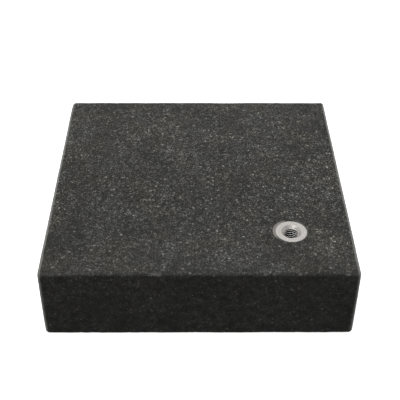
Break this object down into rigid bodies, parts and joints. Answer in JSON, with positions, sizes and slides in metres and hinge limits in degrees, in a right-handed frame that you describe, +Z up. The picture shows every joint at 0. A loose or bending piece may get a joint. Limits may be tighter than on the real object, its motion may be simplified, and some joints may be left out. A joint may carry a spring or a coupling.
{
  "type": "granite slab",
  "caption": "Square slab of black granite with rounded edges and a threaded steel bush bonded in near one corner, flush with the lapped top, to hold a column.",
  "frame": {"origin": "centre of the underside", "axes": "+Z up, out of the lapped working face; +X towards the side nearest the bush, with the bush in the corner towards +X and -Y"},
  "size_m": [0.15, 0.15, 0.04],
  "materials": {
    "black_granite": "matte",
    "stainless_steel": "satin",
    "epoxy": "satin"
  },
  "bodies": {
    "root": {"granite_slab": "black_granite", "threaded_bush": "stainless_steel", "epoxy_bond": "epoxy"}
  },
  "joints": []
}
